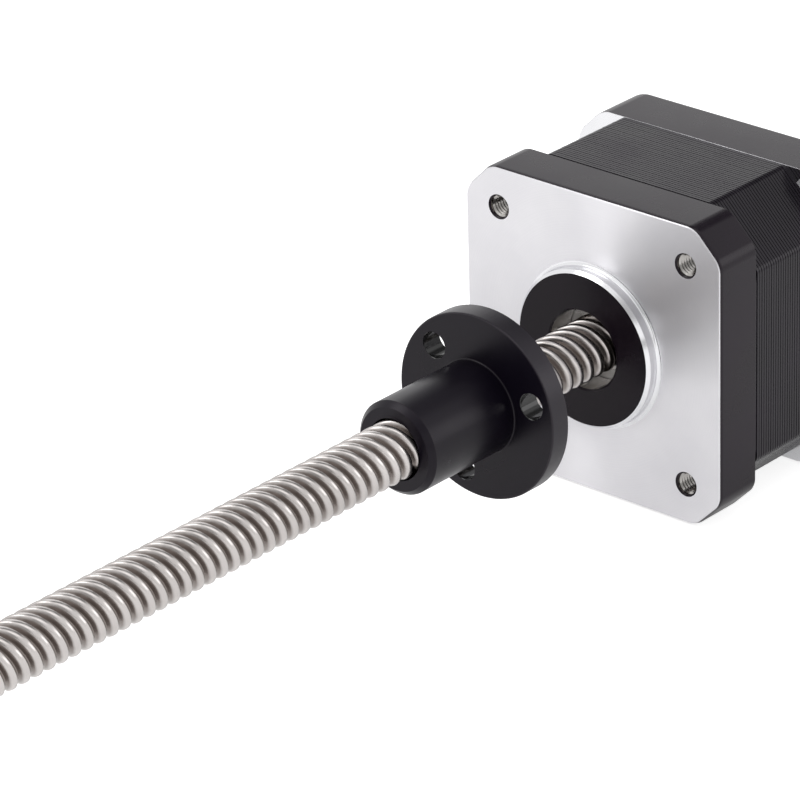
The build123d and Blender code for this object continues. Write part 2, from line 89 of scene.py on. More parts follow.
class Node:
    """Corners of a CAD node in millimetres."""

    def __init__(self, name: str) -> None:
        """Read the node's box.

        Args:
            name: The CAD node's name.
        """
        low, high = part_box(name)
        self.low = Vector(low) / MM
        self.high = Vector(high) / MM

    @property
    def width(self) -> float:
        """Size along X."""
        return self.high.x - self.low.x


def cad_node(name: str) -> Node:
    """Dataclass field that reads a CAD node's box when its owner is made."""
    return field(default_factory=lambda: Node(name))


# Hand tools


def put_down() -> None:
    """Leave edit mode and deselect every object."""
    if bpy.context.mode != "OBJECT":
        bpy.ops.object.mode_set(mode="OBJECT")
    bpy.ops.object.select_all(action="DESELECT")


def pick_up(piece: Piece) -> None:
    """Make one object the only selected and active one.

    Args:
        piece: The object to work on.
    """
    put_down()
    piece.select_set(True)
    bpy.context.view_layer.objects.active = piece


@contextmanager
def editing(piece: Piece, action: str = "DESELECT") -> Iterator[None]:
    """Work on a piece in edit mode.

    Args:
        piece: The object whose mesh is shaped.
        action: SELECT to start with all of it selected, DESELECT to start with nothing.

    Yields:
        Nothing, once, while the piece is in edit mode.
    """
    pick_up(piece)
    bpy.ops.object.mode_set(mode="EDIT")
    bpy.ops.mesh.select_all(action=action)
    yield
    bpy.ops.object.mode_set(mode="OBJECT")


def choose_faces(piece: Piece, test: Test) -> None:
    """Select the faces that pass a test of centre (in millimetres) and normal.

    Args:
        piece: The object in edit mode.
        test: Takes a face's centre and normal.
    """
    bpy.ops.mesh.select_all(action="DESELECT")
    bpy.ops.mesh.select_mode(type="FACE")
    shape = bmesh.from_edit_mesh(piece.data)
    shape.normal_update()
    for face in shape.faces:
        if test(face.calc_center_median() / MM, face.normal):
            face.select_set(True)
    bmesh.update_edit_mesh(piece.data)


def choose_edges(piece: Piece, test: Test) -> None:
    """Select the edges that pass a test of middle (in millimetres) and direction.

    Args:
        piece: The object in edit mode.
        test: Takes an edge's middle and its unit direction.
    """
    bpy.ops.mesh.select_all(action="DESELECT")
    bpy.ops.mesh.select_mode(type="EDGE")
    shape = bmesh.from_edit_mesh(piece.data)
    for edge in shape.edges:
        start, end = (corner.co for corner in edge.verts)
        if test((start + end) / 2 / MM, (end - start).normalized()):
            edge.select_set(True)
    bmesh.update_edit_mesh(piece.data)


def cut_corners(piece: Piece, cut: float, radius: float, segments: int) -> None:
    """Cut a block's four edges along the axis and blend the corners that the cuts leave.

    Args:
        piece: The block in edit mode.
        cut: The cut's size along each side.
        radius: The blends' radius.
        segments: Steps of a blend.
    """
    for size, count in ((cut, 1), (radius * math.tan(CORNER_TURN), segments)):
        choose_edges(piece, lambda middle, way: abs(way.y) > ALONG)
        bpy.ops.mesh.bevel(offset=size * MM, segments=count, affect="EDGES", profile=0.5)


def extrude_to(station: float, start: float, ratio: float) -> None:
    """Extrude the chosen faces along the axis from their start to a station, and scale them about it."""
    bpy.ops.mesh.extrude_region_move(TRANSFORM_OT_translate={"value": (0, (station - start) * MM, 0)})
    bpy.ops.transform.resize(value=(ratio, 1, ratio), center_override=(0, station * MM, 0))


def apply_modifiers(piece: Piece) -> None:
    """Apply every modifier of a piece in order.

    Args:
        piece: The object to finish.
    """
    pick_up(piece)
    for modifier in list(piece.modifiers):
        bpy.ops.object.modifier_apply(modifier=modifier.name)


def heal(piece: Piece) -> None:
    """Merge doubled corners and point every face outwards.

    Args:
        piece: The object to mend.
    """
    with editing(piece, "SELECT"):
        bpy.ops.mesh.remove_doubles(threshold=DOUBLED * MM)
        bpy.ops.mesh.normals_make_consistent(inside=False)


def cap_ends(piece: Piece) -> None:
    """Close a mesh at its open borders and heal it.

    Args:
        piece: The object to close.
    """
    with editing(piece):
        bpy.ops.mesh.select_mode(type="EDGE")
        shape = bmesh.from_edit_mesh(piece.data)
        for edge in shape.edges:
            if edge.is_boundary:
                edge.select_set(True)
        bmesh.update_edit_mesh(piece.data)
        bpy.ops.mesh.fill_holes(sides=0)
    heal(piece)


def twist(piece: Piece, angle: float, travel: float, steps: int, turns: int = 1) -> None:
    """Sweep a cross-section into a helix about the screw's axis.

    Args:
        piece: The cross-section.
        angle: The angle of one sweep in radians.
        travel: Its travel along the axis in millimetres.
        steps: Steps of one sweep.
        turns: How many sweeps follow one another.
    """
    helix = piece.modifiers.new("helix", "SCREW")
    helix.axis = "Y"
    helix.angle = angle
    helix.screw_offset = travel * MM
    helix.iterations = turns
    helix.steps = steps
    helix.render_steps = steps
    helix.use_merge_vertices = False
    apply_modifiers(piece)


def smooth(piece: Piece, degrees: float = 28.0) -> None:
    """Shade a piece smooth except at its hard edges.

    Args:
        piece: The object to shade.
        degrees: The angle past which an edge stays hard.
    """
    pick_up(piece)
    bpy.ops.object.shade_smooth_by_angle(angle=math.radians(degrees))
    weighted = piece.modifiers.new("weighted", "WEIGHTED_NORMAL")
    weighted.mode = "FACE_AREA"
    weighted.weight = 80
    weighted.keep_sharp = True
    apply_modifiers(piece)


def block(name: str, low: Vector, high: Vector) -> Piece:
    """A box between two corners in millimetres, its place kept in its mesh.

    Args:
        name: The piece's name.
        low: The lowest corner.
        high: The highest corner.

    Returns:
        The new object.
    """
    put_down()
    middle = (low + high) / 2 * MM
    bpy.ops.mesh.primitive_cube_add(size=1, location=middle, scale=(high - low) * MM)
    piece = bpy.context.active_object
    piece.name = name
    bpy.ops.object.transform_apply()
    return piece


def arc(centre: Point, radius: float, start: float, end: float, steps: int) -> list[Point]:
    """Points of an arc in the (radius, station) plane, with angles in degrees from outwards to the rear."""
    angles = [math.radians(start + (end - start) * i / steps) for i in range(steps + 1)]
    return [(centre[0] + radius * math.cos(a), centre[1] + radius * math.sin(a)) for a in angles]


def turned(name: str, outline: list[Point], steps: int = 96) -> Piece:
    """Spin a closed outline of (radius, station) points about the screw's axis.

    Args:
        name: The piece's name.
        outline: Corners in millimetres, in order.
        steps: Number of steps in the turn.

    Returns:
        The new closed object.
    """
    put_down()
    bpy.ops.mesh.primitive_plane_add(size=MM, location=(0, 0, 0))
    piece = bpy.context.active_object
    piece.name = name
    with editing(piece, "SELECT"):
        bpy.ops.mesh.select_mode(type="VERT")
        bpy.ops.mesh.merge(type="CENTER")
        first = Vector((outline[0][0], outline[0][1], 0)) * MM
        bpy.ops.transform.translate(value=first)
        at = first
        for radius, station in [*outline[1:], outline[0]]:
            goal = Vector((radius, station, 0)) * MM
            bpy.ops.mesh.extrude_vertices_move(TRANSFORM_OT_translate={"value": goal - at})
            at = goal
        bpy.ops.mesh.select_all(action="SELECT")
        bpy.ops.mesh.remove_doubles(threshold=CLOSED * MM)
        bpy.ops.mesh.spin(steps=steps, angle=FULL_TURN, center=(0, 0, 0), axis=(0, 1, 0))
    heal(piece)
    with editing(piece, "SELECT"):
        bpy.ops.mesh.delete_loose()
    return piece


def copy_of(piece: Piece, name: str, place: Matrix) -> Piece:
    """A copy with its own mesh, put in place in that mesh.

    Args:
        piece: The object to copy.
        name: The copy's name.
        place: Where the copy goes, in metres.

    Returns:
        The copy.
    """
    pick_up(piece)
    bpy.ops.object.duplicate(linked=False)
    twin = bpy.context.active_object
    twin.name = name
    twin.matrix_world = place
    bpy.ops.object.transform_apply()
    return twin


def discard(piece: Piece) -> None:
    """Delete an object that is used up."""
    pick_up(piece)
    bpy.ops.object.delete()


def combine(piece: Piece, tool: Piece, operation: str) -> None:
    """Boolean a tool with a piece and throw the tool away.

    Args:
        piece: The object that is kept.
        tool: The object that is used up.
        operation: DIFFERENCE or UNION.
    """
    modifier = piece.modifiers.new("tool", "BOOLEAN")
    modifier.operation = operation
    modifier.object = tool
    modifier.solver = "EXACT"
    apply_modifiers(piece)
    discard(tool)


def square_places() -> list[Point]:
    """Corners of the hole square as (x, z)."""
    half = HOLE_SQUARE / 2
    return [(half, half), (-half, half), (-half, -half), (half, -half)]


def moved(place: Point) -> Matrix:
    """The move in metres to a place across the axis, given as (x, z) in millimetres."""
    return Matrix.Translation((place[0] * MM, 0, place[1] * MM))


def drill(piece: Piece, outline: list[Point], places: list[Point]) -> None:
    """Cut the same turned hole at several places.

    Args:
        piece: The piece.
        outline: The hole's (radius, station) outline.
        places: The holes' axes as (x, z).
    """
    bit = turned("drill", outline, steps=48)
    for place in places:
        combine(piece, copy_of(bit, "drill_copy", moved(place)), "DIFFERENCE")
    discard(bit)


def fix(piece: Piece, body: Body, slot: str, *nodes: str) -> None:
    """Let a finished piece ride on its body and hide the CAD nodes that it stands for.

    Args:
        piece: The finished object.
        body: The body that carries it.
        slot: The record's material slot; not used.
        nodes: The CAD nodes that the piece replaces.
    """
    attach(piece, body.value)
    if nodes:
        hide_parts(*nodes)
    LOG.info("%s: %d faces on %s", piece.name, len(piece.data.polygons), body.value)


# Shader building


class Graph:
    """Short calls for the nodes of one material or node group."""

    def __init__(self, tree: bpy.types.NodeTree) -> None:
        """Keep the tree that is filled."""
        self.tree = tree

    def add(self, kind: str, inputs: Inputs | None = None, **settings: object) -> bpy.types.Node:
        """Add a node, set its options and feed its inputs.

        Args:
            kind: The node's type name.
            inputs: What feed takes.
            settings: Options of the node.

        Returns:
            The new node.
        """
        node = self.tree.nodes.new(kind)
        for name, value in settings.items():
            setattr(node, name, value)
        self.feed(node, inputs or {})
        return node

    def feed(self, node: bpy.types.Node, inputs: Inputs) -> None:
        """Link inputs of a node, or set their values.

        Args:
            node: The node.
            inputs: An output socket, a number, a colour or a vector for each input, by name or place.
        """
        for name, value in inputs.items():
            socket = node.inputs[name]
            if isinstance(value, Wire):
                self.tree.links.new(value, socket)
            elif socket.type == "RGBA":
                socket.default_value = (*value, 1.0)
            else:
                socket.default_value = value

    def math(self, operation: str, *values: object, clamp: bool = False) -> Wire:
        """Result of a Math node on values in order, kept between 0 and 1 if clamped."""
        inputs = dict(enumerate(values))
        return self.add("ShaderNodeMath", inputs, operation=operation, use_clamp=clamp).outputs[0]

    def noise(self, place: Wire, scale: object, detail: float = 3.0) -> Wire:
        """Noise with a number of cells for each metre and of octaves."""
        inputs = {"Vector": place, "Scale": scale, "Detail": detail}
        return self.add("ShaderNodeTexNoise", inputs).outputs["Fac"]

    def span(self, *values: object, kind: str = "LINEAR") -> Wire:
        """A value moved from a range to a new one: value, old low and high, new low and high."""
        return self.add("ShaderNodeMapRange", dict(enumerate(values)), interpolation_type=kind).outputs[0]

    def blend(self, share: object, first: object, second: object) -> Wire:
        """Mix of two colours, with the second one's share."""
        return self.add("ShaderNodeMix", {0: share, 6: first, 7: second}, data_type="RGBA").outputs[2]

    def place(self) -> Wire:
        """Object coordinates, in metres."""
        return self.add("ShaderNodeTexCoord").outputs["Object"]

    def off_axis(self, place: Wire) -> tuple[Wire, Wire]:
        """Distance of a place from the screw's axis, and its station along it.

        Args:
            place: The vector socket.

        Returns:
            The two numbers' sockets.
        """
        split = self.add("ShaderNodeSeparateXYZ", {0: place})
        square = [self.math("MULTIPLY", split.outputs[i], split.outputs[i]) for i in (0, 2)]
        return self.math("SQRT", self.math("ADD", *square)), split.outputs[1]

    def group(self, tree: bpy.types.NodeTree, **inputs: object) -> bpy.types.Node:
        """Node of a group with its inputs fed."""
        return self.add("ShaderNodeGroup", inputs, node_tree=tree)


def new_group(
    name: str, inputs: dict[str, float], outputs: tuple[str, ...]
) -> tuple[Graph, dict[str, Wire], bpy.types.Node]:
    """Start a shader node group with a vector input named Place.

    Args:
        name: The group's name.
        inputs: Number inputs with their defaults.
        outputs: Names of the number outputs.

    Returns:
        The group's graph, its input sockets by name and its output node.
    """
    tree = bpy.data.node_groups.new(name, "ShaderNodeTree")
    tree.interface.new_socket(name="Place", in_out="INPUT", socket_type="NodeSocketVector")
    for label, default in inputs.items():
        socket = tree.interface.new_socket(name=label, in_out="INPUT", socket_type="NodeSocketFloat")
        socket.default_value = default
    for label in outputs:
        tree.interface.new_socket(name=label, in_out="OUTPUT", socket_type="NodeSocketFloat")
    graph = Graph(tree)
    start = graph.add("NodeGroupInput")
    end = graph.add("NodeGroupOutput")
    return graph, {label: start.outputs[label] for label in ("Place", *inputs)}, end


def lathe_marks() -> bpy.types.NodeTree:
    """Fine rings about the screw's axis, broken up by noise.

    Returns:
        A group with the inputs Place, Pitch and Waver and the output Rings.
    """
    graph, given, end = new_group("lathe marks", {"Pitch": 0.0002, "Waver": 0.3}, ("Rings",))
    far = graph.math("ADD", *graph.off_axis(given["Place"]))
    drift = graph.noise(given["Place"], scale=260.0, detail=2.0)
    swing = graph.math("MULTIPLY", graph.math("MULTIPLY", drift, given["Waver"]), given["Pitch"])
    count = graph.math("DIVIDE", graph.math("ADD", far, swing), given["Pitch"])
    inputs = {"W": count, "Scale": 1.0, "Detail": 2.0}
    rings = graph.add("ShaderNodeTexNoise", inputs, noise_dimensions="1D")
    graph.feed(end, {"Rings": rings.outputs["Fac"]})
    return graph.tree


def fine_grain() -> bpy.types.NodeTree:
    """Grain of paint or moulded plastic, with slow blotches.

    Returns:
        A group with the inputs Place and Scale and the outputs Grain and Blotch.
    """
    graph, given, end = new_group("fine grain", {"Scale": 9000.0}, ("Grain", "Blotch"))
    grain = graph.noise(given["Place"], given["Scale"], detail=2.0)
    graph.feed(end, {"Grain": grain, "Blotch": graph.noise(given["Place"], scale=90.0, detail=4.0)})
    return graph.tree


def thread_depth() -> bpy.types.NodeTree:
    """How near a point of a thread is to its crest, by its distance from the screw's axis jittered by noise;
    it places the painted shade in the thread's roots.

    Returns:
        A group with the inputs Place, Root and Crest and the output Share, 0 at a root and 1 at a crest.
    """
    graph, given, end = new_group("thread depth", {"Root": 0.0032, "Crest": 0.0039}, ("Share",))
    radius, _ = graph.off_axis(given["Place"])
    # Noise that makes the edge of the painted root shade ragged
    shade_jitter = graph.noise(given["Place"], scale=1500.0)
    shade_shift = graph.math("MULTIPLY", graph.math("SUBTRACT", shade_jitter, 0.5), 0.0002)
    deep = graph.math("ADD", radius, shade_shift)
    graph.feed(end, {"Share": graph.span(deep, given["Root"], given["Crest"], 0.0, 1.0, kind="SMOOTHSTEP")})
    return graph.tree


@dataclass(frozen=True)
class Finish:
    """A surface finish: a metal or plastic with grain, blotches, optional turning marks and optional painted
    shade in thread roots.
    """

    name: str
    colour: Colour
    shade: Colour
    roughness: float
    metallic: float = 0.0
    spread: float = 0.06
    grain_scale: float = 9000.0
    grain_height: float = 0.002
    ring_pitch: float = 0.0
    ring_height: float = 0.0
    ring_tint: float = 0.0
    anisotropy: float = 0.0
    turn: float = 0.0
    tint: Colour = (1.0, 1.0, 1.0)
    coat: float = 0.0
    specular: float = 0.5
    root_radius: float = 0.0
    crest_radius: float = 0.0
    root_shade_colour: Colour = (0.2, 0.2, 0.2)

    def make(self, groups: dict[str, bpy.types.NodeTree]) -> bpy.types.Material:
        """Build the material.

        Args:
            groups: The shared node groups by name.

        Returns:
            The material.
        """
        material = bpy.data.materials.new(self.name)
        material.use_nodes = True
        material.node_tree.nodes.clear()
        graph = Graph(material.node_tree)
        shader = graph.add("ShaderNodeBsdfPrincipled")
        graph.add("ShaderNodeOutputMaterial", {0: shader.outputs[0]})
        place = graph.place()
        grain = graph.group(groups["grain"], Place=place, Scale=self.grain_scale)
        tone = graph.span(grain.outputs["Blotch"], 0.35, 0.65, 0.0, 1.0)
        low, high = self.roughness - self.spread, self.roughness + self.spread
        rough = graph.span(grain.outputs["Blotch"], 0.3, 0.7, low, high) if self.spread else self.roughness
        height = graph.math("MULTIPLY", grain.outputs["Grain"], self.grain_height * MM)
        if self.ring_pitch:
            rings = graph.group(groups["rings"], Place=place, Pitch=self.ring_pitch * MM)
            tint = graph.span(rings.outputs["Rings"], 0.3, 0.7, -self.ring_tint, self.ring_tint)
            tone = graph.math("ADD", tone, tint, clamp=True)
            lift = graph.math("MULTIPLY", rings.outputs["Rings"], self.ring_height * MM)
            height = graph.math("ADD", height, lift)
        colour = graph.blend(tone, self.shade, self.colour)
        # Thread roots blend towards the root colour: painted shade in the grooves
        if self.crest_radius:
            ends = {"Root": self.root_radius * MM, "Crest": self.crest_radius * MM}
            depth = graph.group(groups["depth"], Place=place, **ends)
            colour = graph.blend(depth.outputs["Share"], self.root_shade_colour, colour)
        bump = graph.add("ShaderNodeBump", {"Distance": 1.0, "Height": height})
        inputs = {
            "Base Color": colour,
            "Roughness": rough,
            "Metallic": self.metallic,
            "Specular IOR Level": self.specular,
            "Specular Tint": self.tint,
            "Coat Weight": self.coat,
            "Normal": bump.outputs[0],
        }
        if self.anisotropy:
            tangent = graph.add("ShaderNodeTangent", direction_type="RADIAL", axis="Y")
            inputs["Anisotropic"] = self.anisotropy
            inputs["Anisotropic Rotation"] = self.turn
            inputs["Tangent"] = tangent.outputs[0]
        graph.feed(shader, inputs)
        return material


PAINT = Finish(
    "black_paint", (0.0070, 0.0024, 0.0086), (0.0045, 0.0015, 0.0056), 0.28, grain_height=0.004, spread=0.04,
    specular=0.255, tint=(1.0, 0.955, 0.985),
)
# A darker, less reflective copy of the black paint for the boss's end face: painted shade
SHADED_BOSS_PAINT = Finish(
    "shaded_boss_paint", (0.0062, 0.0024, 0.0070), (0.0040, 0.0014, 0.0047), 0.26, grain_height=0.003, spread=0.03,
    specular=0.18, tint=(1.0, 0.955, 0.985),
)
FACE = Finish(
    "turned_aluminium", (0.855, 0.845, 0.87), (0.80, 0.79, 0.82), 0.41, 1.0, grain_height=0.0003, spread=0.0,
    ring_pitch=0.09, ring_height=0.0004, ring_tint=0.3, anisotropy=0.95, turn=0.25,
)
BRIGHT = Finish(
    "bright_aluminium", (0.84, 0.84, 0.86), (0.76, 0.76, 0.78), 0.14, 1.0, grain_height=0.0002, spread=0.03,
    ring_pitch=0.07, ring_height=0.0008, ring_tint=0.3, anisotropy=0.5,
)
# Metal for the bore, bearing pocket and tapped hole walls, far darker than the bare face: painted shade in
# the hollows
SHADED_BORE = Finish(
    "shaded_bored_aluminium", (0.37, 0.345, 0.32), (0.27, 0.25, 0.23), 0.08, 1.0, grain_height=0.0002, spread=0.02,
    ring_pitch=0.12, ring_height=0.0006, ring_tint=0.3,
)
# The tapped threads' metal, darker than the bare face: painted shade inside the holes
SHADED_TAPPED = Finish(
    "shaded_tapped_aluminium", (0.52, 0.50, 0.48), (0.40, 0.385, 0.37), 0.2, 1.0, grain_height=0.0003, spread=0.03,
)
STACK_PAINT = Finish(
    "stack_paint", (0.0110, 0.0074, 0.0140), (0.0050, 0.0033, 0.0068), 0.30, grain_scale=5000.0,
    grain_height=0.008, specular=0.30, tint=(1.0, 0.965, 1.0),
)
# The lead screw's root colour is painted shade in the thread's grooves
SCREW_STEEL = Finish(
    "rolled_stainless", (0.65, 0.615, 0.60), (0.53, 0.50, 0.485), 0.245, 1.0, grain_scale=4000.0,
    grain_height=0.003, spread=0.045, root_radius=3.4, crest_radius=3.92, root_shade_colour=(0.235, 0.205, 0.19),
)
SHAFT_STEEL = Finish(
    "ground_steel", (0.64, 0.63, 0.62), (0.55, 0.54, 0.53), 0.2, 1.0, ring_pitch=0.05, ring_height=0.0005,
    ring_tint=0.2, anisotropy=0.4,
)
NUT_PLASTIC = Finish(
    "turned_black_plastic", (0.0042, 0.0028, 0.0070), (0.0028, 0.0017, 0.0048), 0.30, ring_pitch=0.16,
    ring_height=0.0008, ring_tint=0.4, grain_height=0.001, spread=0.04, specular=0.235, tint=(1.0, 0.94, 1.0),
)
# A lighter, more reflective copy of the nut's black plastic for the flange rim: painted highlight
LIT_NUT_RIM = Finish(
    "turned_black_rim_lit", (0.0060, 0.0040, 0.0090), (0.0040, 0.0026, 0.0062), 0.34, ring_pitch=0.16,
    ring_height=0.0008, ring_tint=0.4, grain_height=0.001, spread=0.04, specular=0.40, tint=(1.0, 0.94, 1.0),
)
NUT_HOLE = Finish(
    "drilled_black_plastic", (0.010, 0.0098, 0.0105), (0.0075, 0.0073, 0.008), 0.12, grain_height=0.0005,
    spread=0.03,
)
SCREW_BLACK = Finish("black_oxide", (0.045, 0.045, 0.05), (0.028, 0.028, 0.03), 0.34, 0.7)
SOCKET = Finish("socket_plastic", (0.80, 0.78, 0.70), (0.74, 0.71, 0.62), 0.42)

NODE_FINISHES: dict[str, Finish] = {
    "stator_stack": STACK_PAINT,
    "insulator": Finish("insulator_plastic", (0.78, 0.76, 0.68), (0.70, 0.67, 0.58), 0.5),
    "coil": Finish(
        "enamelled_copper", (0.62, 0.22, 0.08), (0.50, 0.15, 0.05), 0.25, 0.9, grain_height=0.01,
        grain_scale=5000.0,
    ),
    "rotor_cup": Finish(
        "ground_laminations", (0.42, 0.42, 0.43), (0.32, 0.32, 0.33), 0.34, 1.0, ring_pitch=0.35,
        ring_height=0.002, ring_tint=0.3,
    ),
    "rotor_magnet": Finish("sintered_magnet", (0.20, 0.20, 0.21), (0.13, 0.13, 0.14), 0.55, 0.6),
    "spacer": Finish(
        "turned_brass", (0.76, 0.58, 0.26), (0.66, 0.48, 0.20), 0.25, 1.0, ring_pitch=0.08, ring_height=0.001,
        ring_tint=0.3,
    ),
    "bearing_ring": Finish(
        "bearing_steel", (0.70, 0.70, 0.71), (0.60, 0.60, 0.61), 0.16, 1.0, ring_pitch=0.06,
        ring_height=0.0006, ring_tint=0.2,
    ),
    "bearing_balls": Finish("polished_balls", (0.78, 0.78, 0.79), (0.74, 0.74, 0.75), 0.08, 1.0),
    "bearing_cage": Finish("cage_plastic", (0.72, 0.66, 0.52), (0.64, 0.58, 0.44), 0.5),
    "bearing_shields": Finish(
        "pressed_shield", (0.60, 0.60, 0.61), (0.48, 0.48, 0.49), 0.3, 1.0, ring_pitch=0.1, ring_height=0.001,
        ring_tint=0.3,
    ),
    "wave_washer": Finish("spring_steel", (0.38, 0.38, 0.39), (0.28, 0.28, 0.29), 0.3, 1.0),
    "terminal_board": Finish("solder_mask", (0.03, 0.20, 0.09), (0.02, 0.15, 0.07), 0.35, coat=0.3),
    "connector_pins": Finish("tinned_pins", (0.70, 0.69, 0.66), (0.60, 0.59, 0.56), 0.25, 1.0),
}


class Palette:
    """The shared node groups and the materials made from them."""

    def __init__(self) -> None:
        """Build the groups and start with no materials."""
        self.groups = {"rings": lathe_marks(), "grain": fine_grain(), "depth": thread_depth()}
        self.made: dict[str, bpy.types.Material] = {}

    def __getitem__(self, finish: Finish) -> bpy.types.Material:
        """Give the material of a finish, made once.

        Args:
            finish: The finish.

        Returns:
            Its material.
        """
        if finish.name not in self.made:
            self.made[finish.name] = finish.make(self.groups)
        return self.made[finish.name]

    def coat(self, piece: Piece, *finishes: Finish) -> None:
        """Give a piece its materials, in slot order.

        Args:
            piece: The piece.
            finishes: One finish for each slot.
        """
        piece.data.materials.clear()
        for finish in finishes:
            piece.data.materials.append(self[finish])

    def mark(self, piece: Piece, finish: Finish, test: Test) -> None:
        """Give the faces that pass a test another of the piece's finishes.

        Args:
            piece: The piece.
            finish: One of the finishes that it was coated with.
            test: Takes a face's centre in millimetres and its normal.
        """
        index = piece.data.materials.find(self[finish].name)
        for face in piece.data.polygons:
            if test(Vector(face.center) / MM, face.normal):
                face.material_index = index


def reach(centre: Vector) -> float:
    """Distance of a point from the screw's axis."""
    return math.hypot(centre.x, centre.z)


def near(centre: Vector, places: list[Point], limit: float) -> bool:
    """Whether a point lies within a limit of one of several axes, given as (x, z)."""
    return any(math.hypot(centre.x - x, centre.z - z) < limit for x, z in places)


# Covers


@dataclass
class Cover:
    """What both end covers share: a square with cut and blended corners and a stepped outer rim."""

    corner_cut: float = 4.15
    corner_radius: float = 2.6
    rim_steps: tuple[Point, ...] = ((0.60, 0.0), (0.10, 0.14), (0.0, 0.28))
    inner_break: float = 0.10
    bore_edge: float = 0.25
    bare_slope: float = 0.7
    hub_radius: float = 9.6
    cavity_radius: float = 18.7
    pocket_radius: float = 8.01

    def shell(self, name: str, node: Node, front: float, back: float, outside: float) -> Piece:
        """The blank: a block whose corners are cut, blended and broken at its outer end.

        Args:
            name: The piece's name.
            node: The CAD node whose width it takes.
            front: The blank's front station.
            back: The blank's back station.
            outside: The station of the end that gets the stepped rim.

        Returns:
            The blank.
        """
        half = node.width / 2
        side = -1 if outside == front else 1
        start = outside - side * self.rim_steps[0][0]
        first, last = (start, back) if side < 0 else (front, start)
        piece = block(name, Vector((-half, first, -half)), Vector((half, last, half)))
        inside = front + back - outside
        with editing(piece):
            cut_corners(piece, self.corner_cut, self.corner_radius, segments=8)
            choose_faces(piece, lambda at, way: way.y * side > ALONG)
            size = half
            for away, inset in self.rim_steps[1:]:
                goal = outside - side * away
                extrude_to(goal, start, (half - inset) / size)
                size, start = half - inset, goal
            choose_edges(piece, lambda middle, way: abs(way.y) < ACROSS and abs(middle.y - inside) < TOUCH)
            bpy.ops.mesh.bevel(offset=self.inner_break * MM, segments=2, affect="EDGES", profile=0.5)
        return piece

    def hollow(self, piece: Piece, bore: list[Point], front: float, back: float) -> None:
        """Cut the bore with its bearing pocket, and the ring-shaped cavity round the hub.

        Args:
            piece: The cover.
            bore: The bore's (radius, station) outline.
            front: The cavity's front station.
            back: The cavity's back station.
        """
        combine(piece, turned("bore", bore), "DIFFERENCE")
        hub, cavity = self.hub_radius, self.cavity_radius
        ring = [(hub, front), (cavity, front), (cavity, back), (hub, back)]
        combine(piece, turned("cavity", ring), "DIFFERENCE")


